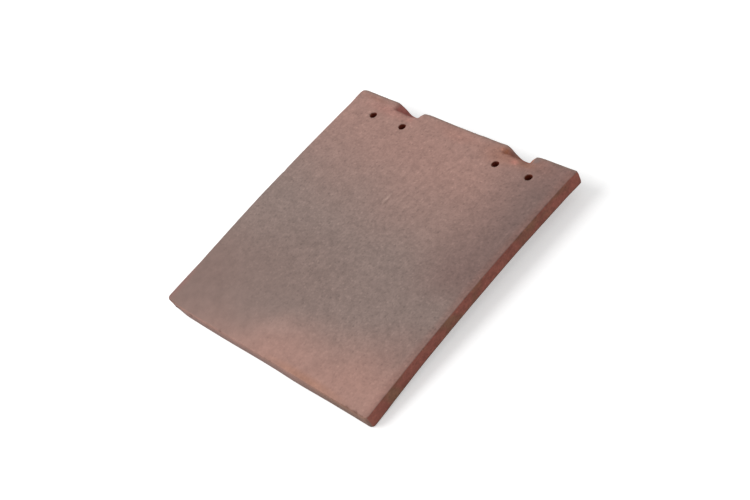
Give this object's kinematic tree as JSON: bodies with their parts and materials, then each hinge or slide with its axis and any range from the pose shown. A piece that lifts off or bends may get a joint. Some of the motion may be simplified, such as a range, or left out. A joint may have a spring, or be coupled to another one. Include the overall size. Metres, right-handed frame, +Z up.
{
  "type": "clay roof tile",
  "caption": "Wide single-camber clay plain roof tile with turned-down nibs that hook over a batten, scoops above the nibs at the head, and nail holes.",
  "frame": {"origin": "on the floor under the middle of the tile, as it lies on its nibs and the lower edge of its tail", "axes": "+Y from tail to head, +X across the tile, +Z up; the tile's bed is tilted 2.5 degrees, head up"},
  "size_m": [0.248, 0.2658, 0.0248],
  "materials": {
    "fired_clay": "matt unglazed fired clay, sanded, brown with grey flashing and redder edges"
  },
  "bodies": {
    "root": {"roof_tile": "fired_clay"}
  },
  "joints": []
}
